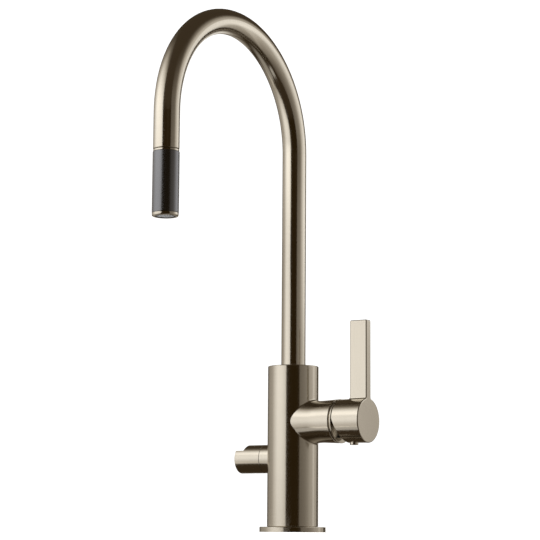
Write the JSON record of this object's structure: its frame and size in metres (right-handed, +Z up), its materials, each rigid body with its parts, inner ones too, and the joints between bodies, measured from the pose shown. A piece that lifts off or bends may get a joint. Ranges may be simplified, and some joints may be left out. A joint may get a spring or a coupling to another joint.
{
  "type": "pull-out kitchen faucet",
  "caption": "Deck-mounted kitchen faucet with a tall swivelling arch spout, a pull-out spray head, a side lever mixer and a small shut-off valve knob.",
  "frame": {"origin": "centre of the base plate's underside, on the deck", "axes": "+Z up along the column, -Y towards the spout's outlet, +X towards the mixer knob"},
  "size_m": [0.1455, 0.2611, 0.6148],
  "materials": {
    "satin_bronze": "satin champagne bronze plating on brass",
    "grip_black": "satin black moulded grip",
    "aerator_black": "black moulded plastic",
    "aerator_grey": "grey moulded plastic",
    "acetal_white": "white acetal",
    "cartridge_grey": "grey glass-filled nylon",
    "ceramic": "lapped alumina, as a smooth hard plastic",
    "brass_raw": "turned brass",
    "steel": "turned stainless steel",
    "rubber_black": "black nitrile rubber",
    "hose_braid": "grey nylon braid"
  },
  "bodies": {
    "column": {"base_plate": "satin_bronze", "deck_gasket": "rubber_black", "threaded_shank": "brass_raw", "clamp_gasket": "rubber_black", "clamp_washer": "steel", "mounting_nut": "brass_raw", "main_body": "satin_bronze", "mixer_arm": "satin_bronze", "trim_ring": "satin_bronze", "cartridge_seals": "rubber_black", "cartridge_housing": "cartridge_grey", "cartridge_fixed_disc": "ceramic", "cartridge_nut": "brass_raw", "valve_collar": "satin_bronze", "valve_seal": "rubber_black", "valve_fixed_disc": "ceramic", "valve_headwork": "brass_raw", "swivel_bearing_lower": "acetal_white", "swivel_bearing_upper": "acetal_white", "spout_cap_nut": "satin_bronze", "swivel_stop_screw": "steel", "hose_connector": "brass_raw", "hose_lower": "hose_braid"},
    "spout": {"spout_tube": "satin_bronze", "spout_foot": "brass_raw", "spout_o_rings": "rubber_black", "docking_bush": "acetal_white", "hose_upper": "hose_braid"},
    "hose_end": {"hose_pull": "hose_braid", "hose_ferrule": "steel", "hose_nipple": "brass_raw", "nipple_o_ring": "rubber_black"},
    "handset": {"swivel_nut": "brass_raw", "handset_top_ring": "satin_bronze", "handset_core": "acetal_white", "grip_sleeve": "grip_black", "handset_bottom_ring": "satin_bronze", "inlet_filter": "acetal_white", "check_valve": "rubber_black", "aerator_washer": "rubber_black", "aerator_housing": "aerator_black", "aerator_screen": "aerator_grey", "aerator_insert": "aerator_grey"},
    "mixer_rotor": {"cartridge_rotor": "acetal_white", "stem_pin": "steel"},
    "disc_slide": {"cartridge_moving_disc": "ceramic", "disc_carrier": "acetal_white"},
    "mixer_lever": {"cartridge_stem": "brass_raw", "mixer_handle": "satin_bronze", "handle_set_screw": "steel", "set_screw_plug": "satin_bronze"},
    "valve_handle": {"valve_moving_disc": "ceramic", "valve_spindle": "brass_raw", "valve_spindle_o_ring": "rubber_black", "valve_knob": "satin_bronze", "valve_set_screw": "steel"}
  },
  "joints": [
    {"name": "spout_swivel", "type": "hinge", "parent": "column", "child": "spout", "pos_m": [0, 0, 0.15], "axis": [0, 0, 1], "range_deg": [-70, 70]},
    {"name": "hose_pull_out", "type": "slide", "parent": "spout", "child": "hose_end", "axis": [0, 0, -1], "range_m": [0, 0.26], "stiffness_N_per_m": 4, "springref_m": -1, "deforming": ["hose_pull"]},
    {"name": "handset_swivel", "type": "hinge", "parent": "hose_end", "child": "handset", "pos_m": [0, -0.2166, 0.336], "axis": [0, 0, 1], "continuous": true},
    {"name": "lever_temperature", "type": "hinge", "parent": "column", "child": "mixer_rotor", "pos_m": [0.03, 0, 0.1063], "axis": [1, 0, 0], "range_deg": [-45, 45]},
    {"name": "disc_slide", "type": "slide", "parent": "mixer_rotor", "child": "disc_slide", "axis": [0, 0, 1], "range_m": [-0.0001, 0.0034]},
    {"name": "lever_flow", "type": "hinge", "parent": "mixer_rotor", "child": "mixer_lever", "pos_m": [0.0425, 0, 0.1063], "axis": [0, 1, 0], "range_deg": [0, 20]},
    {"name": "valve_turn", "type": "hinge", "parent": "column", "child": "valve_handle", "pos_m": [-0.04, 0, 0.0712], "axis": [-1, 0, 0], "range_deg": [0, 90]}
  ],
  "couplings": [
    {"joint": "disc_slide", "follows": "lever_flow", "m_per_rad": 0.0091}
  ]
}
